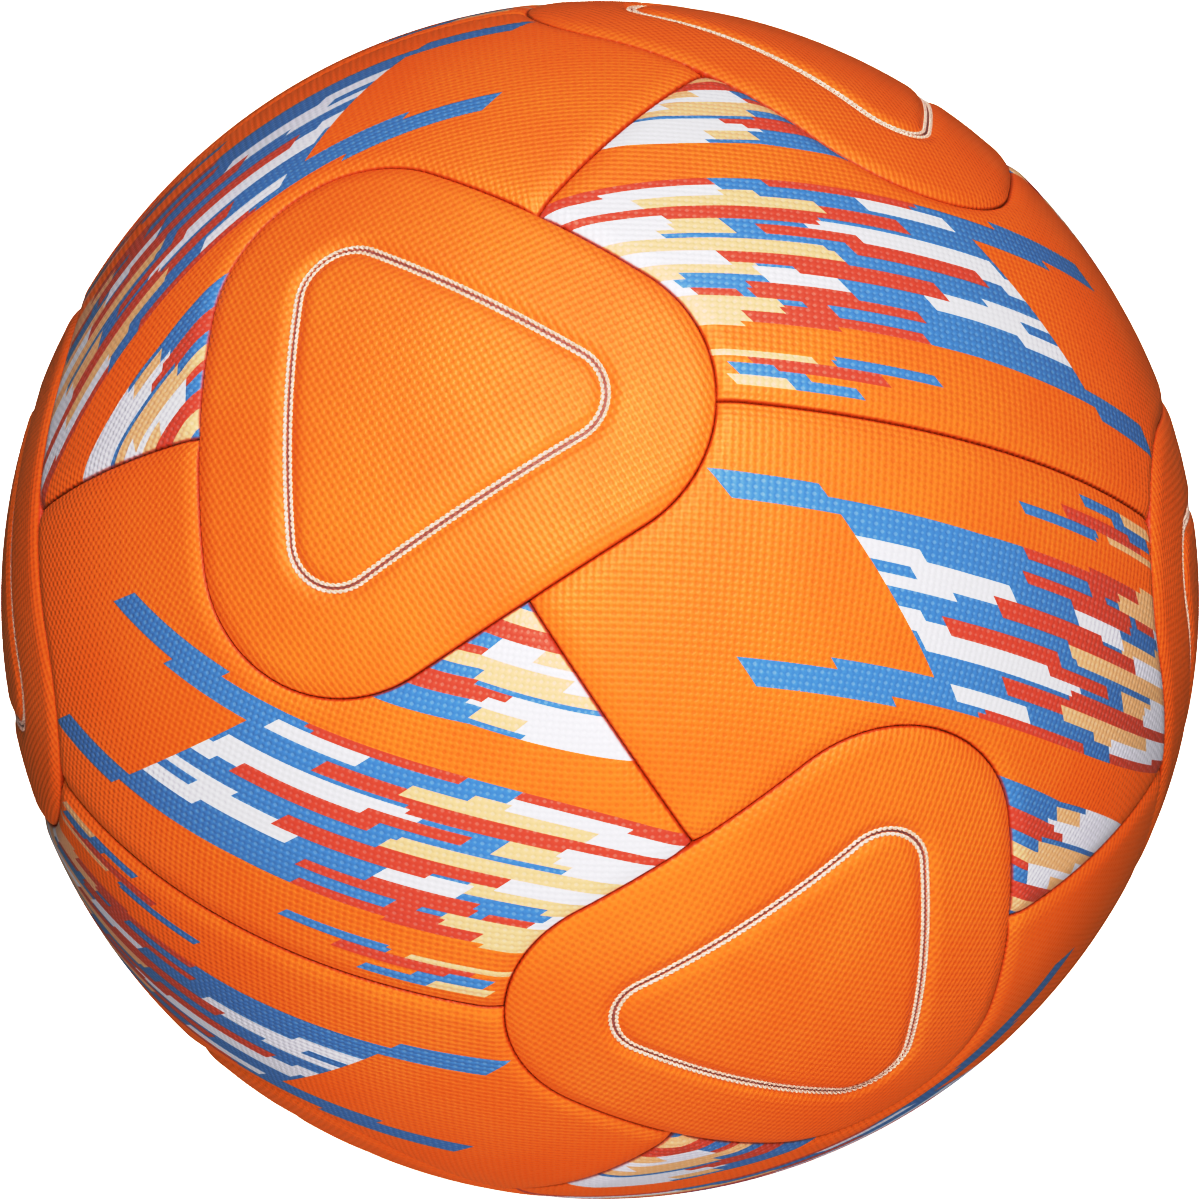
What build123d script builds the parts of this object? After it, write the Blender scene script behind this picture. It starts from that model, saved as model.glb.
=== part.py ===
from build123d import *

import os
from math import sqrt

# A size 5 soccer ball with a bonded cover of 20 panels.
#
# Eight rounded triangular panels sit at the corners of a cube drawn in the ball. Each of the cube's six
# faces carries two large panels, divided by a seam along the face's diagonal. Every panel is a moulded
# skin over its own foam backing. Under the cover lie the wound carcass and the bladder, with a valve and
# a balance patch.
#
# The ball's centre is the origin. Millimetres.

# ---------------------------------------------------------------- driving dimensions

ball_radius = 110.0  # a size 5 ball measures 690 mm round
skin_thickness = 1.4
foam_thickness = 3.6
carcass_thickness = 1.2
bladder_thickness = 0.9
glue_gap = 0.05  # between two layers
seam_gap = 0.1  # between two panels
skin_turn_down = 1.2  # the skin wraps the foam's edge this thick
edge_round = 2.0  # rounding of a panel's outer edge, which makes the seam's groove

# Rounded triangles, measured on the plane that touches the ball at the corner.
panel_reach = 44.0  # from the middle of a corner panel to the middle of its side
panel_rounding = 29.0
stitch_reach = 22.7  # the same for the line midway between the two rows of stitches
stitch_rounding = 9.1
stitch_row_spacing = 1.4
stitch_groove_width = 4.0
stitch_groove_depth = 0.9
thread_width = 0.6

valve_stem_radius = 4.2
valve_stem_length = 20.0
valve_recess = 0.8  # the valve's face lies this far below the cover
valve_rim_round = 0.4
valve_flange_radius = 13.0
valve_flange_thickness = 1.2
core_radius = 2.2
core_head_radius = 2.9
core_head_height = 1.5
core_length = 14.0
core_recess = 0.5  # below the valve's face
needle_radius = 0.95
needle_depth = 8.0
air_channel_radius = 1.0
valve_clearance = 0.1

balance_patch_radius = 16.0
balance_patch_thickness = 1.4

# How the ball lies: the cube's axes turned about x, then y, then z, in degrees.
cube_frame = Plane(Rotation(2.0, -33.5, -133.8))

# ---------------------------------------------------------------- derived sizes

skin_inside = ball_radius - skin_thickness
foam_outside = skin_inside - glue_gap
cover_inside = ball_radius - skin_thickness - foam_thickness
carcass_outside = cover_inside - glue_gap
carcass_inside = carcass_outside - carcass_thickness
bladder_outside = carcass_inside - glue_gap
bladder_inside = bladder_outside - bladder_thickness
flange_outside = bladder_inside - glue_gap

seam_inset = seam_gap / 2
foam_space_inset = seam_inset + skin_turn_down
foam_inset = foam_space_inset + glue_gap

# Solids of rays from the centre are cut off well inside and outside the cover.
rays_start = 0.5 * ball_radius
rays_end = 1.2 * ball_radius
overcut = 1.0  # a tool reaches this far past what it cuts

upright = (Align.CENTER, Align.CENTER, Align.MIN)

# ---------------------------------------------------------------- the cube that sets out the panels

cube_corners = [
    cube_frame.from_local_coords(Vector(x, y, z)) for x in (1, -1) for y in (1, -1) for z in (1, -1)
]
cube_faces = [
    cube_frame.from_local_coords(Vector(*axis) * side)
    for axis in ((1, 0, 0), (0, 1, 0), (0, 0, 1))
    for side in (1, -1)
]
hub_corners = (cube_corners[2], cube_corners[5])  # three diagonal seams meet at each of these two
valve_corner = cube_corners[7]
patch_corner = cube_corners[0]  # opposite the valve


def plane_facing(outwards, towards):
    """The plane through the ball's centre that faces one way, its x axis turned towards another."""
    z_dir = outwards.normalized()
    return Plane(origin=(0, 0, 0), x_dir=towards - z_dir * towards.dot(z_dir), z_dir=z_dir)


def corner_plane(corner):
    """A corner panel's plane: one of its rounded corners points along x, to the middle of a face."""
    face = next(face for face in cube_faces if face.dot(corner) > 0)
    return plane_facing(corner, face)


def large_panel_planes():
    """The planes of the large panels: x along the diagonal seam, y to the half face's far corner."""
    planes = []
    for face in cube_faces:
        hub = next(corner for corner in hub_corners if corner.dot(face) > 0)
        along_seam = hub - face
        planes += [plane_facing(face, along_seam), plane_facing(face, -along_seam)]
    return planes


# ---------------------------------------------------------------- shapes shared by several pieces


def rounded_rays(plane, reach, rounding, grow=0.0):
    """A solid of rays from the ball's centre through a rounded triangle on a plane touching it."""
    with BuildPart() as rays:
        for height in (rays_start, rays_end):
            scale = height / ball_radius
            with BuildSketch(plane.offset(height)) as section:
                RegularPolygon((reach + grow) * scale, 3, major_radius=False, align=None)
                fillet(section.vertices(), (rounding + grow) * scale)
        loft(ruled=True)
    return rays.part


def half_face_rays(inset):
    """A pyramid over half a cube face, the diagonal along x, all its sides moved in by the inset."""
    apex = Vector(0, inset, inset * 3 / sqrt(2))
    edges = [Vector(sqrt(2), 0, 1), Vector(-sqrt(2), 0, 1), Vector(0, sqrt(2), 1)]
    with BuildPart() as rays:
        ConvexPolyhedron([apex, *[apex + edge * rays_end for edge in edges]], align=None)
        for corner in edges:
            neighbour = plane_facing(corner, Vector(0, 0, 1))
            add(rounded_rays(neighbour, panel_reach, panel_rounding, inset), mode=Mode.SUBTRACT)
    return rays.part


def layer(rays, outer, inner):
    """What of a solid of rays lies between two spheres about the ball's centre."""
    with BuildPart() as shell:
        add(rays)
        Sphere(outer, mode=Mode.INTERSECT)
        Sphere(inner, mode=Mode.SUBTRACT)
    return shell.part


def moulded_skin(whole_panel, foam_space):
    """A panel's skin: the whole panel with its outer edge rounded, less the room for its foam."""
    with BuildPart() as skin:
        add(whole_panel)
        cover_face = skin.faces().sort_by(SortBy.AREA)[-1]
        fillet(cover_face.edges(), edge_round)
        add(foam_space, mode=Mode.SUBTRACT)
    return skin.part


def stitch_band(side, width, outer, inner):
    """A closed band along the stitch line, its middle moved outwards by side."""
    reach = stitch_reach + side
    rounding = stitch_rounding + side
    with BuildPart() as band:
        add(rounded_rays(Plane.XY, reach, rounding, width / 2))
        add(rounded_rays(Plane.XY, reach, rounding, -width / 2), mode=Mode.SUBTRACT)
    return layer(band.part, outer, inner)


def spherical_disc(radius, thickness):
    """A disc that lies against the inside of the bladder, above the ball's centre."""
    with BuildPart() as disc:
        Sphere(flange_outside)
        Sphere(flange_outside - thickness, mode=Mode.SUBTRACT)
        with Locations((0, 0, rays_start)):
            Cylinder(radius, ball_radius, align=upright, mode=Mode.INTERSECT)
    return disc.part


def valve_hole():
    """Takes the valve's hole out of the part being built, along its plane's z axis."""
    with Locations((0, 0, rays_start)):
        Cylinder(valve_stem_radius + valve_clearance, ball_radius, align=upright, mode=Mode.SUBTRACT)


def write(piece, name):
    """Labels a finished piece and writes its STEP file."""
    piece.label = name
    export_step(piece, f"parts/{name}.step")


os.makedirs("parts", exist_ok=True)

# ---------------------------------------------------------------- corner panels

with BuildPart() as corner_skin:
    add(
        moulded_skin(
            layer(
                rounded_rays(Plane.XY, panel_reach, panel_rounding, -seam_inset),
                ball_radius,
                cover_inside,
            ),
            layer(
                rounded_rays(Plane.XY, panel_reach, panel_rounding, -foam_space_inset),
                skin_inside,
                cover_inside - overcut,
            ),
        )
    )
    groove_bottom = ball_radius - stitch_groove_depth
    add(stitch_band(0, stitch_groove_width, ball_radius + overcut, groove_bottom), mode=Mode.SUBTRACT)

with BuildPart() as corner_foam:
    foam_rays = rounded_rays(Plane.XY, panel_reach, panel_rounding, -foam_inset)
    add(layer(foam_rays, foam_outside, cover_inside))

with BuildPart() as corner_stitching:
    thread_bottom = groove_bottom + glue_gap
    for side in (-stitch_row_spacing / 2, stitch_row_spacing / 2):
        add(stitch_band(side, thread_width, thread_bottom + thread_width, thread_bottom))

for number, corner in enumerate(cube_corners, start=1):
    for name, shape in (
        ("corner_panel", corner_skin),
        ("corner_foam", corner_foam),
        ("corner_stitching", corner_stitching),
    ):
        with BuildPart(corner_plane(corner)) as piece:
            add(shape.part)
            if corner == valve_corner:
                valve_hole()
        write(piece.part, f"{name}_{number}")

# ---------------------------------------------------------------- large panels

with BuildPart() as large_skin:
    add(
        moulded_skin(
            layer(half_face_rays(seam_inset), ball_radius, cover_inside),
            layer(half_face_rays(foam_space_inset), skin_inside, cover_inside - overcut),
        )
    )

with BuildPart() as large_foam:
    add(layer(half_face_rays(foam_inset), foam_outside, cover_inside))

for number, plane in enumerate(large_panel_planes(), start=1):
    for name, shape in (("large_panel", large_skin), ("large_foam", large_foam)):
        with BuildPart(plane) as piece:
            add(shape.part)
        write(piece.part, f"{name}_{number:02d}")

# ---------------------------------------------------------------- carcass and bladder

with BuildPart(corner_plane(valve_corner)) as carcass:
    Sphere(carcass_outside)
    Sphere(carcass_inside, mode=Mode.SUBTRACT)
    valve_hole()
write(carcass.part, "carcass")

with BuildPart(corner_plane(valve_corner)) as bladder:
    Sphere(bladder_outside)
    Sphere(bladder_inside, mode=Mode.SUBTRACT)
    valve_hole()
write(bladder.part, "bladder")

# ---------------------------------------------------------------- valve and balance patch

valve_top = ball_radius - valve_recess
core_top = valve_top - core_recess
core_bottom = core_top - core_length
head_bottom = core_top - core_head_height

with BuildPart(corner_plane(valve_corner)) as valve_housing:
    with Locations((0, 0, valve_top)):
        Cylinder(valve_stem_radius, valve_stem_length, align=(Align.CENTER, Align.CENTER, Align.MAX))
    rim = valve_housing.edges().sort_by_distance(valve_corner * ball_radius)[0]
    fillet(rim, valve_rim_round)
    add(spherical_disc(valve_flange_radius, valve_flange_thickness))
    Cylinder(air_channel_radius, ball_radius, align=upright, mode=Mode.SUBTRACT)
    with Locations((0, 0, core_bottom - valve_clearance)):
        Cylinder(core_radius + valve_clearance / 2, ball_radius, align=upright, mode=Mode.SUBTRACT)
    with Locations((0, 0, head_bottom - valve_clearance)):
        Cylinder(core_head_radius + valve_clearance / 2, ball_radius, align=upright, mode=Mode.SUBTRACT)
write(valve_housing.part, "valve_housing")

with BuildPart(corner_plane(valve_corner)) as valve_core:
    with Locations((0, 0, core_bottom)):
        Cylinder(core_radius, core_length, align=upright)
    with Locations((0, 0, head_bottom)):
        Cylinder(core_head_radius, core_head_height, align=upright)
    with Locations((0, 0, core_top - needle_depth)):
        Cylinder(needle_radius, ball_radius, align=upright, mode=Mode.SUBTRACT)
write(valve_core.part, "valve_core")

with BuildPart(corner_plane(patch_corner)) as balance_patch:
    add(spherical_disc(balance_patch_radius, balance_patch_thickness))
write(balance_patch.part, "balance_patch")
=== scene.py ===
import math

import bpy
import numpy as np
from mathutils import Matrix, Vector


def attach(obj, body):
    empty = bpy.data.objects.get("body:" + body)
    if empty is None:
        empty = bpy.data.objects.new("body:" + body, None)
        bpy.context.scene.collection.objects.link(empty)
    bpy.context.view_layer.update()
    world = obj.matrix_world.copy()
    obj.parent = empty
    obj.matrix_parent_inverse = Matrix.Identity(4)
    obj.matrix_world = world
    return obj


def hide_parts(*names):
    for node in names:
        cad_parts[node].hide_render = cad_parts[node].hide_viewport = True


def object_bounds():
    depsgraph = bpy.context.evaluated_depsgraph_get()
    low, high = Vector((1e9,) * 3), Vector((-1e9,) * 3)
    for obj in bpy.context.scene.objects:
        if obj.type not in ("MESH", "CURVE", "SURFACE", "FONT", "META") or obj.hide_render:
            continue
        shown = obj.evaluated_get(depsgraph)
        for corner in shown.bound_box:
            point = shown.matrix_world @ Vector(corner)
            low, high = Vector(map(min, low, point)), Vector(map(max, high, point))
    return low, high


# The looks of a size 5 soccer ball with a bonded cover: padded panels, their moulded grain and print,
# the sewn rings on the corner panels, and the studio. The layers under the cover and the valve are the
# CAD model's own.
#
# The ball's centre is the origin. Shapes are worked out in millimetres and written to the meshes in
# metres.

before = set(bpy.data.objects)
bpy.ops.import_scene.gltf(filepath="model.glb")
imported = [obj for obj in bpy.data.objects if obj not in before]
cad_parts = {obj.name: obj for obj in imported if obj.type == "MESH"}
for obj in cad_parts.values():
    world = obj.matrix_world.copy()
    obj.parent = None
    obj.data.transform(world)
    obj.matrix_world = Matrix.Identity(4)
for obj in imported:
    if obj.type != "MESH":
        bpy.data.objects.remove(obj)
cad_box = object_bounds()

MM = 0.001

# ---------------------------------------------------------------- sizes, in millimetres

ball_radius = (cad_box[1].z - cad_box[0].z) / 2 / MM
skin_thickness = 1.4
cover_depth = 5.0  # skin and foam together
turned_rim = 1.25  # the skin turns down round its foam this wide, measured from the seam
seam_inset = 0.01  # half the gap between two panels, pressed together
lip_round = 0.6  # rounding of a panel's outer edge
pillow_depth = 0.8  # a panel's edge lies this far below its middle
pillow_width = 4.5
tip_droop = 1.0  # a large panel's pointed tips lie this much deeper still
tip_width = 4.5

panel_reach = 44.0  # a corner panel's size, on the plane that touches the ball at its middle
panel_rounding = 29.0
stitch_reach = 22.7  # the same for the line midway between its two rows of stitches
stitch_rounding = 9.1
stitch_row_offset = 0.64  # each row's distance from that line
stitch_dip_depth = 1.0  # the skin sinks towards the stitches
stitch_dip_width = 2.0
stitch_length = 1.05
stitch_sink = 0.25  # the thread goes this far below the skin between two stitches
stitch_rise = 0.36  # and rises by this much over each
strand_radius = 0.24  # two strands twisted together make the thread
strand_offset = 0.15
strand_pitch = 2.1
valve_hole_radius = 4.3

# How the ball lies: a cube's axes turned about x, then y, then z, in degrees. Corner panels sit at its
# corners.
cube_turns = (2.0, -33.5, -133.8)

# ---------------------------------------------------------------- directions


def unit(vectors):
    """The same directions, one long."""
    return vectors / np.linalg.norm(vectors, axis=-1, keepdims=True)


def axes_facing(outwards, towards):
    """The axes, one a row, of a frame whose z axis faces one way, its x axis turned towards another."""
    z_axis = unit(outwards)
    x_axis = unit(towards - z_axis * (towards @ z_axis))
    return np.array([x_axis, np.cross(z_axis, x_axis), z_axis])


turn = Matrix.Identity(3)
for angle, axis in zip(cube_turns, "XYZ"):
    turn = turn @ Matrix.Rotation(math.radians(angle), 3, axis)
cube_axes = np.array(turn).T

cube_corners = [np.array((x, y, z), float) for x in (1, -1) for y in (1, -1) for z in (1, -1)]
cube_faces = [side * axis for axis in np.eye(3) for side in (1, -1)]
hub_corners = (cube_corners[2], cube_corners[5])  # three diagonal seams meet at each of these two
valve_corner = cube_corners[7]

# ---------------------------------------------------------------- outlines of the panels

arc_share = 0.54  # of the way along half an outline, the part that is its rounded tip
half_tip = math.radians(60)


def triangle_rays(reach, rounding, share):
    """Rays through a rounded triangle's outline on the plane that touches the ball. Share runs from 0 at
    the tip on the x axis to 1 at the middle of the next side, and to -1 the other way."""
    along = np.abs(share)
    angle = np.minimum(along / arc_share, 1) * half_tip
    half_side = math.sqrt(3) * (reach - rounding)
    straight = np.maximum(along - arc_share, 0) / (1 - arc_share) * half_side
    x = 2 * (reach - rounding) + rounding * np.cos(angle) - straight * math.sin(half_tip)
    y = rounding * np.sin(angle) + straight * math.cos(half_tip)
    return np.stack([x, np.sign(share) * y, np.full_like(x, ball_radius)], axis=-1)


def triangle_ring(reach, rounding, steps):
    """Unit rays all round a rounded triangle, steps of them for each of its three tips."""
    third = triangle_rays(reach, rounding, np.linspace(-1, 1, steps, endpoint=False))
    ring = []
    for tip in range(3):
        c, s = math.cos(tip * 2 * half_tip), math.sin(tip * 2 * half_tip)
        ring.append(third @ np.array([[c, s, 0], [-s, c, 0], [0, 0, 1]]))
    return unit(np.concatenate(ring))


# ---------------------------------------------------------------- heights of the cover


def edge_drop(inset):
    """How far the cover lies below the ball's full radius at an inset from the seam: a soft pillow and a
    round lip."""
    pillow = pillow_depth * max(1 - inset / pillow_width, 0) ** 2
    into_lip = max(lip_round - inset, 0)
    return pillow + lip_round - math.sqrt(lip_round**2 - into_lip**2)


def stitch_dip(off_line):
    """How far the skin sinks near the stitches."""
    return stitch_dip_depth * math.exp(-((off_line / stitch_dip_width) ** 2))


# ---------------------------------------------------------------- meshes

# Insets from the seam at which the skins have rings of vertices.
lip_insets = (0.01, 0.05, 0.11, 0.19, 0.3, 0.44, 0.6)
pillow_insets = (0.85, 1.2, 1.6, 2.1, 2.7, 3.3, 4.0, 4.8)
corner_insets = (10.0, 12.0, 14.5)  # further in on a corner panel

ring_steps = 88  # vertices for each tip of a corner panel's rings
inner_rings = 10  # rings inside the stitch zone
zone_rings = 26
stitch_zone = 4.0  # rings stay parallel to the stitch line this far from it
stitch_steps = 400  # points for each tip of the line that the thread follows
strand_sides = 6
strand_step = 0.18
sharp_angle = math.radians(45)  # shading breaks at edges that turn further than this


class Shell:
    """A closed skin made of rings of rays at given radii, each ring further round the section."""

    def __init__(self):
        self.rays = []
        self.radii = []
        self.edges = []  # distance from the seam
        self.lines = []  # distance from the stitch line
        self.faces = []
        self.count = 0

    def add(self, rays, radius, edge, line):
        """Adds vertices and returns their numbers."""
        first = self.count
        self.count += len(rays)
        self.rays.append(rays)
        self.radii.append(np.full(len(rays), radius))
        self.edges.append(np.full(len(rays), edge))
        self.lines.append(np.full(len(rays), line))
        return np.arange(first, self.count)

    def join(self, ring, next_ring):
        """Joins two rings with quads."""
        quads = np.stack([ring, next_ring, np.roll(next_ring, -1), np.roll(ring, -1)], axis=-1)
        self.faces += quads.tolist()

    def arrays(self):
        rays = np.concatenate(self.rays)
        points = rays * np.concatenate(self.radii)[:, None]
        return rays, points, np.concatenate(self.edges), np.concatenate(self.lines)


def corner_sections():
    """(reach, rounding, radius, inset) of the rings of a corner panel, from the middle out over the top
    and back underneath."""
    outer_zone = (stitch_reach + stitch_zone, stitch_rounding + stitch_zone)
    inner_zone = (stitch_reach - stitch_zone, stitch_rounding - stitch_zone)
    outline = (panel_reach, panel_rounding)
    middle = (valve_hole_radius, valve_hole_radius)

    def between(start, end, part):
        return tuple(a + (b - a) * part for a, b in zip(start, end))

    sizes = [between(middle, inner_zone, step / inner_rings) for step in range(inner_rings)]
    sizes += [between(inner_zone, outer_zone, step / zone_rings) for step in range(zone_rings)]
    border = panel_reach - outer_zone[0]
    insets = (lip_insets + pillow_insets + corner_insets + (border,))[::-1]
    sizes += [between(outline, outer_zone, inset / border) for inset in insets]
    sections = []
    for reach, rounding in sizes:
        inset = panel_reach - reach
        drop = edge_drop(inset) + stitch_dip(reach - stitch_reach)
        sections.append((reach, rounding, ball_radius - drop, inset))
    rim = between(outline, outer_zone, turned_rim / border)
    edge = sizes[-1]
    sections.append((*edge, ball_radius - cover_depth, seam_inset))
    sections.append((*rim, ball_radius - cover_depth, turned_rim))
    for reach, rounding in (rim, outer_zone, inner_zone, between(middle, inner_zone, 0.5), middle):
        sections.append((reach, rounding, ball_radius - skin_thickness, panel_reach - reach))
    return sections


def corner_shell(pierced):
    """A corner panel's skin, with the valve's hole or closed in the middle."""
    shell = Shell()
    rings = []
    for reach, rounding, radius, inset in corner_sections():
        rays = triangle_ring(reach, rounding, ring_steps)
        rings.append(shell.add(rays, radius, inset, reach - stitch_reach))
    for ring, next_ring in zip(rings, rings[1:]):
        shell.join(ring, next_ring)
    if pierced:
        shell.join(rings[-1], rings[0])
        return shell
    for ring, radius, inwards in (
        (rings[0], ball_radius, False),
        (rings[-1], ball_radius - skin_thickness, True),
    ):
        centre = shell.add(np.array([[0.0, 0.0, 1.0]]), radius, panel_reach, -stitch_reach)[0]
        fan = np.stack([np.full_like(ring, centre), ring, np.roll(ring, -1)], axis=-1)
        shell.faces += (fan[:, ::-1] if inwards else fan).tolist()
    return shell


# A large panel covers half a cube face. In its own frame x runs along the face's diagonal seam, y points
# to the half face's far corner, and z faces outwards. Its border goes anticlockwise through six runs.
seam_steps = 76
tip_steps = 42
edge_steps = 40
far_steps = 2 * tip_steps + seam_steps
border_steps = seam_steps + 2 * tip_steps + 2 * edge_steps + far_steps
half_face_right = np.array([math.sqrt(2), 0, 1])
half_face_left = np.array([-math.sqrt(2), 0, 1])
half_face_far = np.array([0, math.sqrt(2), 1])
diagonal_normal = np.array([0, 1.0, 0])
right_edge_normal = np.array([-0.5, -0.5, math.sqrt(0.5)])
left_edge_normal = np.array([0.5, -0.5, math.sqrt(0.5)])


def neighbour_rays(corner, inset, share):
    """Unit rays along a corner panel's outline, grown by the inset, in the large panel's frame."""
    rays = triangle_rays(panel_reach + inset, panel_rounding + inset, np.asarray(share, float))
    return unit(rays @ axes_facing(corner, np.array([0, 0, 1.0])))


def crossing(corner, normal, inset, low, high):
    """The share of a corner panel's outline at which it lies inset from a seam's plane."""
    for _ in range(40):
        middle = (low + high) / 2
        reached = neighbour_rays(corner, inset, middle) @ normal * ball_radius > inset
        low, high = (low, middle) if reached else (middle, high)
    return (low + high) / 2


def seam_run(start, end, normal, inset, steps):
    """Unit rays from start towards end, not included, along a seam's plane moved in by the inset."""
    part = np.linspace(0, 1, steps, endpoint=False)[:, None]
    rays = start * (1 - part) + end * part
    across = inset / ball_radius
    flat = unit(rays - np.outer(rays @ normal, normal))
    return flat * math.sqrt(1 - across**2) + normal * across


def large_border(inset):
    """Unit rays all round a large panel, inset from its seams."""
    right_low = crossing(half_face_right, diagonal_normal, inset, 0, -0.5)
    right_high = crossing(half_face_right, right_edge_normal, inset, -1, -0.5)
    far = crossing(half_face_far, left_edge_normal, inset, -1.0, -0.5)
    right_shares = np.linspace(right_low, right_high, tip_steps + 1)
    right_tip = neighbour_rays(half_face_right, inset, right_shares)
    left_tip = (right_tip * (-1, 1, 1))[::-1]
    far_tip = neighbour_rays(half_face_far, inset, np.linspace(-far, far, far_steps + 1))
    runs = [
        seam_run(left_tip[-1], right_tip[0], diagonal_normal, inset, seam_steps),
        right_tip[:-1],
        seam_run(right_tip[-1], far_tip[0], right_edge_normal, inset, edge_steps),
        far_tip[:-1],
        seam_run(far_tip[-1], left_tip[0], left_edge_normal, inset, edge_steps),
        left_tip[:-1],
    ]
    return np.concatenate(runs)


def tip_drop(rays):
    """How far the cover sinks towards a large panel's pointed tips, where two of its runs meet."""
    starts = np.cumsum([0, seam_steps, tip_steps, edge_steps, far_steps, edge_steps])
    tips = large_border(seam_inset)[starts]
    off_tip = ball_radius * np.linalg.norm(rays[:, None] - tips, axis=-1).min(axis=1)
    return tip_droop * np.maximum(1 - off_tip / tip_width, 0) ** 2


def fill_border(shell, ring, rays, radius, edge, inwards):
    """Fills a large panel's border with a grid of quads."""
    first_left = border_steps - tip_steps
    low = (first_left + np.arange(far_steps + 1)) % border_steps
    high = first_left - edge_steps - np.arange(far_steps + 1)
    left = first_left - np.arange(edge_steps + 1)
    right = seam_steps + tip_steps + np.arange(edge_steps + 1)
    across = np.linspace(0, 1, far_steps + 1)[:, None, None]
    up = np.linspace(0, 1, edge_steps + 1)[None, :, None]
    ruled_up = rays[low][:, None] * (1 - up) + rays[high][:, None] * up
    ruled_across = rays[left][None] * (1 - across) + rays[right][None] * across
    corners_low = rays[low[0]] * (1 - across) + rays[low[-1]] * across
    corners_high = rays[high[0]] * (1 - across) + rays[high[-1]] * across
    grid = unit(ruled_up + ruled_across - corners_low * (1 - up) - corners_high * up)
    inner = shell.add(grid[1:-1, 1:-1].reshape(-1, 3), radius, edge, ball_radius)
    numbers = np.empty((far_steps + 1, edge_steps + 1), int)
    numbers[:, 0] = ring[low]
    numbers[:, -1] = ring[high]
    numbers[0] = ring[left]
    numbers[-1] = ring[right]
    numbers[1:-1, 1:-1] = inner.reshape(far_steps - 1, edge_steps - 1)
    quads = np.stack(
        [numbers[:-1, :-1], numbers[1:, :-1], numbers[1:, 1:], numbers[:-1, 1:]], axis=-1
    ).reshape(-1, 4)
    shell.faces += (quads[:, ::-1] if inwards else quads).tolist()


def large_shell():
    """A large panel's skin."""
    shell = Shell()
    rings = []
    for inset in (lip_insets + pillow_insets)[::-1]:
        rays = large_border(inset)
        radii = ball_radius - edge_drop(inset) - tip_drop(rays)
        rings.append(shell.add(rays, radii, inset, ball_radius))
    outer_rays = shell.rays[0]
    rim_rays = large_border(turned_rim)
    rim_bottom = ball_radius - cover_depth
    underside = ball_radius - skin_thickness
    for rays, radius, inset in (
        (large_border(seam_inset), rim_bottom, seam_inset),
        (rim_rays, rim_bottom, turned_rim),
        (rim_rays, underside, turned_rim),
    ):
        rings.append(shell.add(rays, radius, inset, ball_radius))
    for ring, next_ring in zip(rings, rings[1:]):
        shell.join(ring, next_ring)
    fill_border(shell, rings[0], outer_rays, ball_radius, pillow_width, False)
    fill_border(shell, rings[-1], rim_rays, underside, pillow_width, True)
    return shell


# The print's rows, in millimetres along the diagonal seam and up from it.
bend_from = 5.0  # the rows bend from here towards the dense end
row_bend = 4.25e-7  # by this share of their height, times the cube of the way past there
tail_spread = 0.05  # they spread by this much of the way along the other side of the middle
tail_top = 45.0  # but not at this height
upper_print_from = 50.0  # rows above this height belong to the small upper print
upper_print_shift = 10.0  # its rows are counted this much higher than they lie
upper_slope_from = 40.0  # and slope from here towards the dense end
upper_print_slope = 0.12
dense_sides = (1, -1, -1, 1, 1, -1)  # which end of the diagonal seam is the dense one, face by face


def print_place(rays, dense_side):
    """Where a large panel's points lie on the print: along the diagonal seam towards the dense end, and
    up from it. The rows bend towards the seam at the dense end and spread a little at the other. The
    small upper print has rows of its own."""
    along = ball_radius * np.arctan2(rays[:, 0], rays[:, 2]) * dense_side
    up = ball_radius * np.arcsin(rays[:, 1])
    bend = 1 - row_bend * np.maximum(along - bend_from, 0) ** 3
    spread = tail_spread * np.maximum(-along, 0)
    row = np.where(along > 0, up / bend, up * (1 - spread / tail_top) + spread)
    upper = up + upper_print_shift + upper_print_slope * np.maximum(along - upper_slope_from, 0)
    return along, np.where(row < upper_print_from, row, upper)


def make_piece(name, points, faces, maps, material, replaced):
    """Makes an object of a finished mesh, in place of a CAD node. Maps are named pairs of numbers for
    each vertex."""
    mesh = bpy.data.meshes.new(name)
    mesh.from_pydata((points * MM).tolist(), [], faces)
    corner_vertices = np.empty(len(mesh.loops), int)
    mesh.loops.foreach_get("vertex_index", corner_vertices)
    for map_name, pairs in maps.items():
        layer = mesh.uv_layers.new(name=map_name)
        layer.uv.foreach_set("vector", pairs[corner_vertices].astype(np.float32).ravel())
    mesh.shade_smooth()
    mesh.set_sharp_from_angle(angle=sharp_angle)
    mesh.materials.append(material)
    piece = bpy.data.objects.new(name, mesh)
    bpy.context.scene.collection.objects.link(piece)
    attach(piece, "root")
    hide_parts(replaced)
    return piece


def strand_tube(centres, outwards, sideways):
    """Points and faces of a closed tube round a closed line."""
    angles = (np.arange(strand_sides) * 2 * math.pi / strand_sides)[None, :, None]
    around = np.cos(angles) * outwards[:, None] + np.sin(angles) * sideways[:, None]
    points = centres[:, None] + strand_radius * around
    numbers = np.arange(len(centres) * strand_sides).reshape(-1, strand_sides)
    beside = np.roll(numbers, -1, axis=1)
    quads = np.stack(
        [numbers, beside, np.roll(beside, -1, axis=0), np.roll(numbers, -1, axis=0)], axis=-1
    )
    return points.reshape(-1, 3), quads.reshape(-1, 4)


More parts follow.
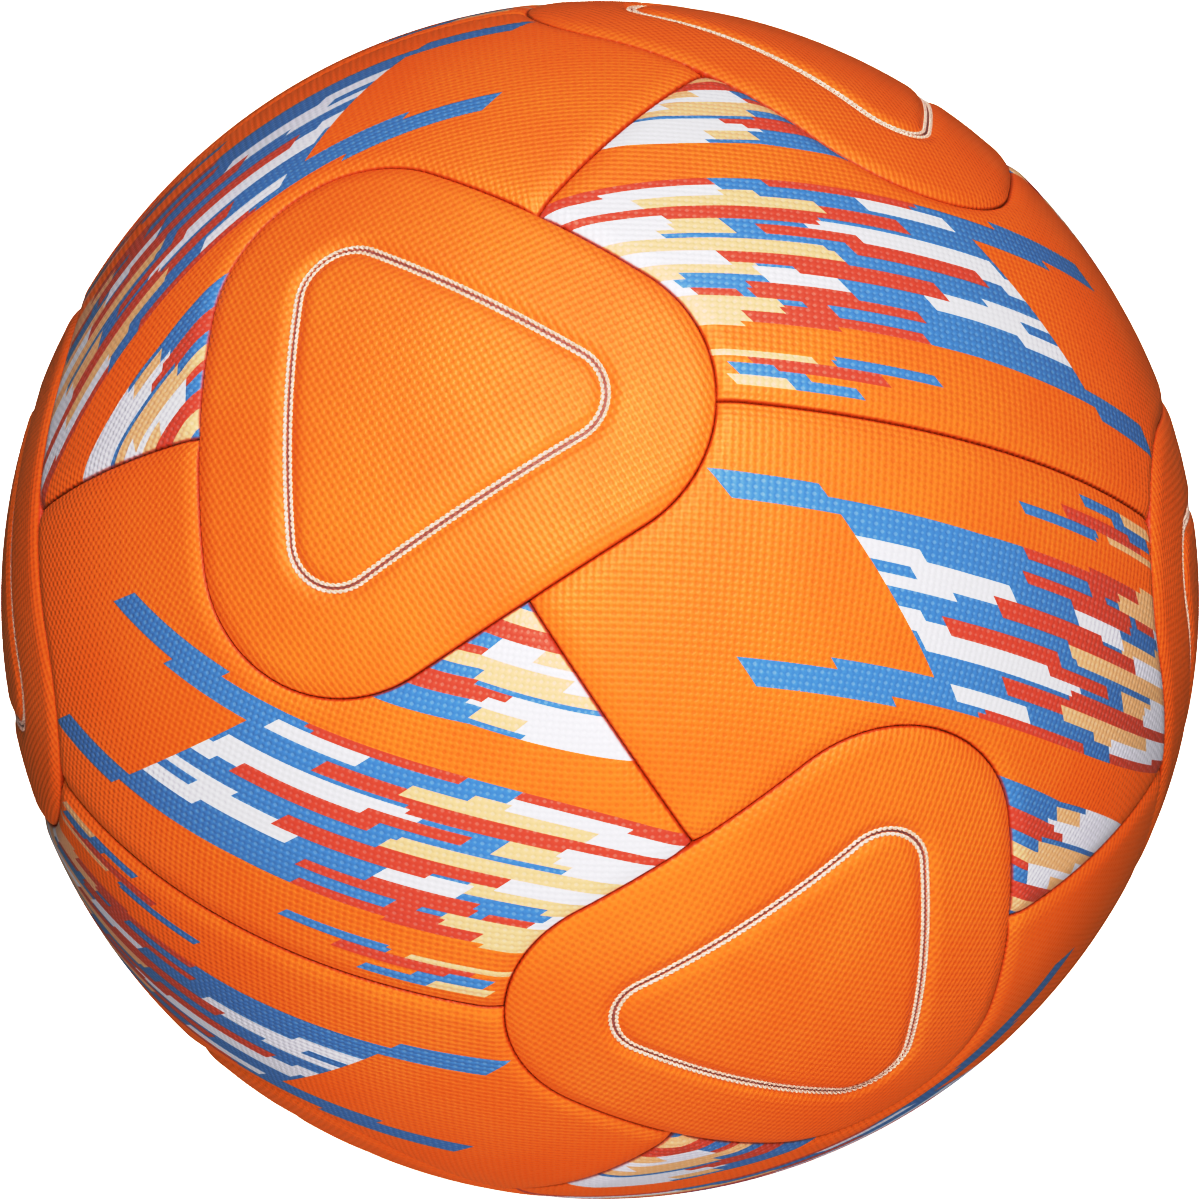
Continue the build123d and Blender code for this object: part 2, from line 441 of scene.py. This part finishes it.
def stitch_row(offset):
    """Points and faces of one row of stitches, a thread of two strands."""
    ring = triangle_ring(stitch_reach + offset, stitch_rounding + offset, stitch_steps)
    ring = np.concatenate([ring, ring[:1]])
    steps = np.linalg.norm(np.diff(ring, axis=0), axis=1)
    run = np.concatenate([[0], np.cumsum(steps)]) * ball_radius
    place = np.linspace(0, run[-1], round(run[-1] / strand_step), endpoint=False)
    rays = unit(np.stack([np.interp(place, run, ring[:, axis]) for axis in range(3)], axis=-1))
    stitches = round(run[-1] / stitch_length)
    in_stitch = np.abs(np.sin(math.pi * stitches * place / run[-1]))
    height = stitch_rise * np.sqrt(in_stitch) - stitch_sink
    line = rays * (ball_radius - stitch_dip(offset) + height)[:, None]
    forwards = unit(np.roll(line, -1, axis=0) - np.roll(line, 1, axis=0))
    sideways = unit(np.cross(forwards, rays))
    outwards = np.cross(sideways, forwards)
    twist = 2 * math.pi * round(run[-1] / strand_pitch) * place / run[-1]
    points = []
    faces = []
    for phase in (0, math.pi):
        lean = np.cos(twist + phase)[:, None] * outwards + np.sin(twist + phase)[:, None] * sideways
        strand_points, quads = strand_tube(line + strand_offset * lean, outwards, sideways)
        faces.append(quads + len(points) * len(strand_points))
        points.append(strand_points)
    return np.concatenate(points), np.concatenate(faces)


# ---------------------------------------------------------------- materials


class Shader:
    """Builds a node material. Numbers and sockets both serve as inputs."""

    def __init__(self, name):
        self.material = bpy.data.materials.new(name)
        self.material.use_nodes = True
        self.tree = self.material.node_tree
        self.surface = self.tree.nodes["Principled BSDF"]

    def node(self, kind, inputs=None, **settings):
        made = self.tree.nodes.new("ShaderNode" + kind)
        for key, value in settings.items():
            setattr(made, key, value)
        for key, value in (inputs or {}).items():
            self.feed(made.inputs[key], value)
        return made

    def feed(self, socket, value):
        if isinstance(value, bpy.types.NodeSocket):
            self.tree.links.new(value, socket)
        else:
            socket.default_value = value

    def math(self, operation, *values):
        return self.node("Math", dict(enumerate(values)), operation=operation).outputs[0]

    def blend(self, amount, first, second):
        made = self.node("Mix", data_type="RGBA")
        self.feed(made.inputs["Factor"], amount)
        self.feed(made.inputs[6], first)
        self.feed(made.inputs[7], second)
        return made.outputs[2]

    def ramp(self, value, low, high, to_low=0.0, to_high=1.0):
        """A number that moves smoothly from one value to another."""
        inputs = {"Value": value, "From Min": low, "From Max": high, "To Min": to_low, "To Max": to_high}
        return self.node("MapRange", inputs, interpolation_type="SMOOTHSTEP").outputs[0]

    def pair(self, map_name):
        """The two numbers of a mesh's map."""
        place = self.node("UVMap", uv_map=map_name).outputs[0]
        parts = self.node("SeparateXYZ", {0: place})
        return parts.outputs[0], parts.outputs[1]

    def noise(self, scale, detail=2.0):
        """Noise in the ball's own space, scale in lumps to a metre."""
        place = self.node("TexCoord").outputs["Object"]
        return self.node("TexNoise", {"Vector": place, "Scale": scale, "Detail": detail}).outputs[0]

    def bump(self, height, depth, strength=1.0):
        """A normal from a height, depth in metres at a height of one."""
        inputs = {"Height": height, "Distance": depth, "Strength": strength}
        return self.node("Bump", inputs).outputs[0]

    def finish(self, **inputs):
        for key, value in inputs.items():
            self.feed(self.surface.inputs[key.replace("_", " ")], value)
        return self.material


def colour(red, green, blue):
    """A shader colour from the usual 0 to 255."""
    linear = []
    for value in (red, green, blue):
        value /= 255
        linear.append(value / 12.92 if value <= 0.04045 else ((value + 0.055) / 1.055) ** 2.4)
    return (*linear, 1.0)


orange = colour(250, 140, 52)
# A deeper tone of the skin, given at random by the clouds, and also painted shade in the grain's pits.
deep_orange = colour(236, 104, 24)
# Painted shade along the seams, where the panels' edges turn down.
painted_seam_shade = colour(176, 58, 18)
painted_channel_shade = colour(128, 100, 104)  # painted shade in the narrow channel between the two rows of stitches
# Pure white, painted into the pits of the print's grain as painted highlights.
white = colour(255, 255, 255)
inks = {
    "b": colour(93, 142, 187),
    "r": colour(207, 96, 71),
    "w": colour(226, 223, 230),
    "y": colour(232, 190, 150),
}

# The print: rows of dashes, bottom row first. A row starts at a height above the diagonal seam and holds
# places along it, with the ink between each place and the next: blue, red, white, yellow, or a dot for
# bare skin. A slash is the slanted end that the rows of the block share. A last ink runs on to the
# panel's border, and a place alone leaves the row bare.
print_rows = (
    (3.0, "25 b 37.5 y 48"),
    (4.9, "34.5 b 47.5"),
    (6.2, "18.5 r 40 b 48"),
    (7.2, "20 r 45"),
    (8.4, "8.5 b 30 . 33.5 y 52"),
    (9.6, "8.5 b 29"),
    (10.3, "0"),
    (14.3, "-53 b -33 . 45.5 y"),
    (15.3, "-52 b / . 28 r 45 y"),
    (16.2, "-51 b 10 r 46 y"),
    (17.5, "-50 b 10 r 38.5 y"),
    (18.0, "-49.5 b 28 r 38.5 y"),
    (18.8, "/ b 28 r 38.5 y"),
    (19.2, "/ b 30 r 34 b 40 y"),
    (20.3, "/ b 11 r 43.5 b 46 r 54.5 w"),
    (21.8, "/ w -12.3 b 11 r 44 b 57 w"),
    (22.2, "/ w -12 b 25 r 44 b 57 w"),
    (23.6, "/ w 8 b 26 w 41 b 57 y"),
    (25.0, "/ b -13.5 w 9.3 b 27 w 41.5 y"),
    (26.1, "/ b -12.7 w 5.3 r 35 w 42 y"),
    (26.9, "/ w 6 r 36 b 42.5 y 48 w"),
    (27.5, "/ w -3.8 b 7.3 r 48.5 w"),
    (28.9, "/ b 8.5 r 49.5 w"),
    (29.3, "/ b 25.5 r 49.5 w"),
    (29.9, "/ b 27.5 y"),
    (31.9, "/ w -10.5 b -6.3 r 24 b 29.5 y"),
    (32.8, "/ w -10 b -5.7 r 25 b 59 w"),
    (33.4, "/ w -5.5 r 25.5 b 60 w"),
    (33.9, "/ w -5.2 r 25.5 b 46.5 y 60 w"),
    (34.2, "/ w -4.7 r 41 b 46 y 60 w"),
    (34.8, "/ w 22 r 42 b 48 y 58 w"),
    (35.4, "/ b -10 w 22.5 r 42 b 48.5 y 58 w"),
    (36.3, "/ b -8.7 w 32.5 b 49 y 58.5 w"),
    (37.3, "/ b -7.7 w 30.5 r 58.5 w"),
    (38.3, "/ b 29.5 r"),
    (39.1, "/ b 10.5 r"),
    (40.3, "/ b 12.3 r 28.5 y 64.5 w"),
    (41.9, "/ b 29.5 y 65 w"),
    (42.4, "-27.7 b 29.5 y 65 w"),
    (42.8, "-27 b -0.7 w 19.3 b 42 y 49 w"),
    (44.2, "-45 b 1.1 w 21.3 b 49 w 71 r"),
    (45.4, "-44 b 8.5 r 39.5 b 50 r"),
    (46.2, "-43 b 7.5 r 39.5 b 50.5 r"),
    (47.1, "-42 b -13"),
    (48.7, "0"),
    (65.5, "10 b 50 w"),
    (66.5, "10 b 40 y 50 w"),
    (69.0, "10 b 38 w"),
    (69.8, "10 r 42 w"),
    (71.0, "10 r 47 w"),
    (72.4, "10 r 40 b"),
    (73.3, "10 b 40 y"),
    (75.3, "10 y 58 w"),
    (77.6, "10 r 40 w"),
    (79.0, "10 b 42 w 52 y"),
    (81.5, "10 r"),
    (84.5, "10 y"),
    (87.3, "10 b"),
)
print_top = 91.3
print_half_width = 150.0  # the rows' ramps of colours reach this far to both sides
dash_slant = 1.0  # how far a dash's end moves along the row for each millimetre up
block_end = -47.8  # where the slanted end of the block of rows would meet the diagonal seam
end_step = 1.2  # an end nearer than this to one in the row below runs straight on from it


def slanted_ends(row, middle, below):
    """Where a row's inks change, moved along the slant down to the diagonal seam."""
    ends = []
    for word in row.split()[::2]:
        end = block_end if word == "/" else float(word) - dash_slant * middle
        nearest = min(below, key=lambda other: abs(other - end), default=end)
        ends.append(nearest if abs(nearest - end) < end_step else end)
    return ends


def print_ramp(shader, slanted, ends, row):
    """The ink of one row as a colour, see-through where the skin is bare."""
    made = shader.node("ValToRGB", {0: slanted})
    stops = made.color_ramp
    stops.interpolation = "CONSTANT"
    bare = (0, 0, 0, 0)
    stops.elements[0].color = bare
    stops.elements.remove(stops.elements[1])
    colours = [inks.get(word, bare) for word in row.split()[1::2]] + [bare]
    for end, ink in zip(ends, colours):
        stop = stops.elements.new((end + print_half_width) / (2 * print_half_width))
        stop.color = ink
    return made


def add_print(shader, along, up):
    """The print's colour, and how much of it there is."""
    slanted = shader.math("MULTIPLY_ADD", up, -dash_slant, along)
    slanted = shader.math("MULTIPLY_ADD", slanted, 0.5 / print_half_width, 0.5)
    ink = (0, 0, 0, 1)
    amount = 0.0
    ends = []
    bottoms = [bottom for bottom, row in print_rows]
    for (bottom, row), top in zip(print_rows, bottoms[1:] + [print_top]):
        ends = slanted_ends(row, (bottom + top) / 2, ends)
        above = shader.math("GREATER_THAN", up, bottom)
        ramp = print_ramp(shader, slanted, ends, row)
        ink = shader.blend(above, ink, ramp.outputs[0])
        mixed = shader.node("Mix", {0: above, 2: amount, 3: ramp.outputs[1]}, data_type="FLOAT")
        amount = mixed.outputs[0]
    return ink, amount


grain_pitch = (1.33, 1.155)  # millimetres between the pits of the moulded grain, along and across
grain_lift = 0.12  # makes every second pit shallower
grain_low = -0.8
grain_high = 1.1


def grain_wave(shader, x, y, run, rise):
    """A cosine wave with these numbers of turns to the millimetre along x and y, raised a little."""
    along = shader.math("MULTIPLY", x, run * 2 * math.pi)
    turns = shader.math("MULTIPLY_ADD", y, rise * 2 * math.pi, along)
    return shader.math("ADD", shader.math("COSINE", turns), grain_lift)


def add_grain(shader, x, y, angle, ribbing):
    """The moulded grain, turned by an angle: 1 in the pits, a little less in every second one, and 0 on
    the ridges between them. Ribbing makes the ridges of one direction stand out."""
    cos, sin = math.cos(angle), math.sin(angle)
    half_run, half_rise = [0.5 / pitch for pitch in grain_pitch]
    waves = []
    for side in (1, -1):
        run = side * half_run * cos - half_rise * sin
        rise = side * half_run * sin + half_rise * cos
        waves.append(grain_wave(shader, x, y, run, rise))
    pits = shader.math("MULTIPLY", *waves)
    ribs = grain_wave(shader, x, y, -sin / grain_pitch[1], cos / grain_pitch[1])
    grain = shader.math("MULTIPLY_ADD", ribs, ribbing, pits)
    return shader.ramp(grain, grain_low + grain_low * ribbing, grain_high + ribbing)


def panel_material(name, angle, ribbing, printed):
    """Satin PU skin with a moulded grain, and print if it has any. Its colour is built up from soft
    clouds, painted shade in the grain's pits, the print with painted highlights in its pits or painted
    shade in the stitches' channel, and painted shade along the seam."""
    shader = Shader(name)
    x, y = shader.pair("panel")
    edge, line = shader.pair("place")
    grain = add_grain(shader, x, y, angle, ribbing)
    cloud = shader.noise(38.0, 3.0)
    speckle = shader.noise(900.0)
    skin = shader.blend(shader.ramp(cloud, 0.3, 0.7, 0.0, 0.25), orange, deep_orange)
    # Painted shade: the grain's pits are darker.
    skin = shader.blend(shader.ramp(grain, 0.4, 1.0, 0.0, 0.3), skin, deep_orange)
    relief = grain
    if printed:
        along, up = shader.pair("print")
        ink, amount = add_print(shader, along, up)
        # Painted highlights: the print is lighter in the grain's pits.
        ink_with_painted_glints = shader.blend(shader.ramp(grain, 0.5, 1.0, 0.0, 0.1), ink, white)
        skin = shader.blend(amount, skin, ink_with_painted_glints)
        relief = shader.math("MULTIPLY", grain, shader.math("MULTIPLY_ADD", amount, -0.3, 1.0))
    else:
        # Painted shade in the channel between the two rows of stitches.
        channel = shader.ramp(shader.math("ABSOLUTE", line), 0.1, 0.6, 0.85, 0.0)
        skin = shader.blend(channel, skin, painted_channel_shade)
    # Painted shade along the seam, darker towards the panel's edge.
    skin = shader.blend(shader.ramp(edge, 0.05, 0.65, 0.9, 0.0), skin, painted_seam_shade)
    rough = shader.math("MULTIPLY_ADD", grain, 0.1, shader.ramp(cloud, 0.3, 0.7, 0.42, 0.5))
    height = shader.math("MULTIPLY_ADD", speckle, 0.12, shader.math("MULTIPLY", relief, -1.0))
    return shader.finish(
        Base_Color=skin,
        Roughness=rough,
        Normal=shader.bump(height, 0.2 * MM, 0.6),
        Specular_IOR_Level=0.3,
    )


def thread_material():
    """White polyester thread; its colours are tinted warm, painted bounce light from the orange skin."""
    shader = Shader("thread")
    fibres = shader.noise(2600.0, 4.0)
    # Both shades carry a warm tint as painted bounce light from the orange skin.
    light, dark = colour(246, 219, 203), colour(213, 180, 164)
    shade = shader.blend(shader.ramp(fibres, 0.3, 0.7), light, dark)
    return shader.finish(
        Base_Color=shade,
        Roughness=shader.ramp(fibres, 0.3, 0.7, 0.55, 0.75),
        Normal=shader.bump(fibres, 0.08 * MM, 0.6),
        Sheen_Weight=0.3,
    )


def foam_material():
    """Cream foam with fine open cells."""
    shader = Shader("foam")
    place = shader.node("TexCoord").outputs["Object"]
    cells = shader.node("TexVoronoi", {"Vector": place, "Scale": 900.0}).outputs["Distance"]
    shade = shader.blend(shader.ramp(cells, 0.1, 0.6), colour(214, 196, 150), colour(244, 232, 200))
    return shader.finish(
        Base_Color=shade,
        Roughness=shader.ramp(cells, 0.1, 0.6, 0.95, 0.8),
        Normal=shader.bump(cells, 0.3 * MM, 0.8),
    )


def carcass_material():
    """Off-white yarn laid in latex."""
    shader = Shader("carcass")
    place = shader.node("TexCoord").outputs["Object"]
    parts = shader.node("SeparateXYZ", {0: place})
    yarns = 5200.0  # radians of the weave to the metre
    waves = [shader.math("SINE", shader.math("MULTIPLY", part, yarns)) for part in parts.outputs]
    weave = shader.math("MULTIPLY", shader.math("MULTIPLY", waves[0], waves[1]), waves[2])
    dark, light = colour(196, 188, 168), colour(236, 230, 214)
    shade = shader.blend(shader.ramp(weave, -0.6, 0.6), dark, light)
    return shader.finish(
        Base_Color=shade,
        Roughness=shader.ramp(shader.noise(60.0), 0.3, 0.7, 0.6, 0.8),
        Normal=shader.bump(weave, 0.15 * MM, 0.7),
    )


def rubber_material(name, dark, light, roughness):
    """Moulded rubber, slightly clouded."""
    shader = Shader(name)
    cloud = shader.noise(120.0, 4.0)
    grit = shader.noise(4200.0, 3.0)
    shade = shader.blend(shader.ramp(cloud, 0.3, 0.7), dark, light)
    return shader.finish(
        Base_Color=shade,
        Roughness=shader.ramp(cloud, 0.3, 0.7, roughness - 0.06, roughness + 0.08),
        Normal=shader.bump(grit, 0.05 * MM, 0.5),
    )


# The rubber layers: the dark and the light end of each one's grey, and its roughness.
rubber_looks = {
    "bladder": ((22, 22, 24), (38, 38, 40), 0.5),
    "valve_housing": ((24, 22, 22), (44, 40, 40), 0.45),
    "valve_core": ((70, 70, 72), (96, 96, 98), 0.4),
    "balance_patch": ((30, 30, 32), (48, 48, 50), 0.55),
}


def finish_cad_nodes():
    """Gives the CAD model's own layers their materials."""
    foam = foam_material()
    finishes = {"corner_foam": foam, "large_foam": foam, "carcass": carcass_material()}
    for name, (dark, light, roughness) in rubber_looks.items():
        finishes[name] = rubber_material(name, colour(*dark), colour(*light), roughness)
    for name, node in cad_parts.items():
        for start, material in finishes.items():
            if name.startswith(start):
                node.data.materials.clear()
                node.data.materials.append(material)


# ---------------------------------------------------------------- the cover


def make_corner_panels():
    material = panel_material("corner_skin", angle=half_tip, ribbing=0.12, printed=False)
    thread = thread_material()
    rows = [stitch_row(side * stitch_row_offset) for side in (-1, 1)]
    thread_points = np.concatenate([points for points, faces in rows])
    thread_faces = rows[0][1].tolist() + (rows[1][1] + len(rows[0][0])).tolist()
    shells = {pierced: corner_shell(pierced) for pierced in (False, True)}
    for number, corner in enumerate(cube_corners, start=1):
        face = next(face for face in cube_faces if face @ corner > 0)
        axes = axes_facing(corner, face) @ cube_axes
        shell = shells[corner is valve_corner]
        rays, points, edges, lines = shell.arrays()
        tilt = np.arccos(rays[:, 2])
        flat = rays[:, :2] * (ball_radius * tilt / np.maximum(np.sin(tilt), 1e-9))[:, None]
        maps = {"panel": flat, "place": np.stack([edges, lines], axis=-1)}
        make_piece(
            f"corner_skin_{number}", points @ axes, shell.faces, maps, material,
            f"corner_panel_{number}",
        )
        make_piece(
            f"corner_thread_{number}", thread_points @ axes, thread_faces, {}, thread,
            f"corner_stitching_{number}",
        )


def make_large_panels():
    material = panel_material("large_skin", angle=0.0, ribbing=0.0, printed=True)
    shell = large_shell()
    rays, points, edges, lines = shell.arrays()
    flat = np.stack([np.arctan2(rays[:, 0], rays[:, 2]), np.arcsin(rays[:, 1])], axis=-1) * ball_radius
    place = np.stack([edges, lines], axis=-1)
    number = 0
    for face, dense_side in zip(cube_faces, dense_sides):
        hub = next(corner for corner in hub_corners if corner @ face > 0)
        for side in (1, -1):
            number += 1
            axes = axes_facing(face, side * (hub - face)) @ cube_axes
            along, up = print_place(rays, dense_side)
            maps = {"panel": flat, "print": np.stack([along, up], axis=-1), "place": place}
            make_piece(
                f"large_skin_{number:02d}", points @ axes, shell.faces, maps, material,
                f"large_panel_{number:02d}",
            )


# ---------------------------------------------------------------- studio, in metres and watts

camera_distance = 1.329
camera_elevation = math.radians(10)
camera_lens = 216.5  # millimetres
floor_size = 16.0


def aim(thing, place, target):
    """Puts a light or a camera at a place and turns it to a target."""
    thing.location = place
    thing.rotation_mode = "QUATERNION"
    thing.rotation_quaternion = (Vector(target) - Vector(place)).to_track_quat("-Z", "Y")


def make_camera():
    camera = bpy.data.objects.new("camera", bpy.data.cameras.new("camera"))
    camera.data.lens = camera_lens
    camera.data.sensor_width = 36.0
    back = Vector((0, -math.cos(camera_elevation), math.sin(camera_elevation)))
    aim(camera, back * camera_distance, (0, 0, 0))
    bpy.context.scene.collection.objects.link(camera)
    bpy.context.scene.camera = camera


def make_softbox(name, place, target, width, height, power):
    light = bpy.data.objects.new(name, bpy.data.lights.new(name, "AREA"))
    light.data.shape = "RECTANGLE"
    light.data.size = width
    light.data.size_y = height
    light.data.energy = power
    aim(light, place, target)
    bpy.context.scene.collection.objects.link(light)
    return light


def make_floor():
    mesh = bpy.data.meshes.new("floor")
    half = floor_size / 2
    level = cad_box[0].z
    corners = [(-half, -half, level), (half, -half, level), (half, half, level), (-half, half, level)]
    mesh.from_pydata(corners, [], [(0, 1, 2, 3)])
    shader = Shader("floor")
    fine = shader.noise(400.0)
    shade = shader.blend(shader.ramp(fine, 0.3, 0.7), colour(250, 250, 250), colour(253, 253, 253))
    mesh.materials.append(shader.finish(Base_Color=shade, Roughness=0.9))
    floor = bpy.data.objects.new("floor", mesh)
    bpy.context.scene.collection.objects.link(floor)
    floor.visible_diffuse = False  # its bounce stays off the ball; the glow from below stands for it
    floor.visible_glossy = False
    floor.visible_shadow = False
    return floor


def light_floor(floor):
    """A wide light that falls on the floor alone, so that the backdrop is white."""
    light = make_softbox("floor_light", (0, 0, 2.5), (0, 0, 0), 9.0, 9.0, 900.0)
    only_floor = bpy.data.collections.new("only_floor")
    only_floor.objects.link(floor)
    light.light_linking.receiver_collection = only_floor
    light.light_linking.blocker_collection = only_floor


# The film's response: a toe, a steep middle and a shoulder, as pairs of light and shown brightness.
tone_curve = ((0.03, 0.015), (0.17, 0.112), (0.28, 0.27), (0.42, 0.5), (0.55, 0.72), (0.75, 0.85))


def set_tone():
    view = bpy.context.scene.view_settings
    view.view_transform = "Standard"
    view.use_curve_mapping = True
    for light, shown in tone_curve:
        view.curve_mapping.curves[3].points.new(light, shown)
    view.curve_mapping.update()


def make_studio():
    make_camera()
    light_floor(make_floor())
    make_softbox("key", (0.15, -2.0, 1.15), (0, 0, 0), 0.9, 0.9, 48.0)
    sheen_light = make_softbox("sheen_light", (0.1, -1.1, 1.7), (0, 0, 0), 0.9, 0.9, 28.0)
    sheen_light.visible_diffuse = False
    low_fill = make_softbox("low_fill", (0, -1.2, -0.04), (0, 0, -0.04), 1.8, 0.1, 1.8)
    table_glow = make_softbox("table_glow", (-0.05, -0.5, -1.0), (0, 0, -0.05), 1.4, 1.4, 7.5)
    back_light = make_softbox("back_light", (-0.1, 2.3, -0.5), (0, 0, 0), 0.8, 0.8, 50.0)
    for light in (low_fill, table_glow, back_light):
        light.visible_glossy = False
    world = bpy.data.worlds.new("world")
    world.use_nodes = True
    world.node_tree.nodes["Background"].inputs["Color"].default_value = (1, 1, 1, 1)
    world.node_tree.nodes["Background"].inputs["Strength"].default_value = 0.1
    bpy.context.scene.world = world
    set_tone()


make_corner_panels()
make_large_panels()
finish_cad_nodes()
make_studio()
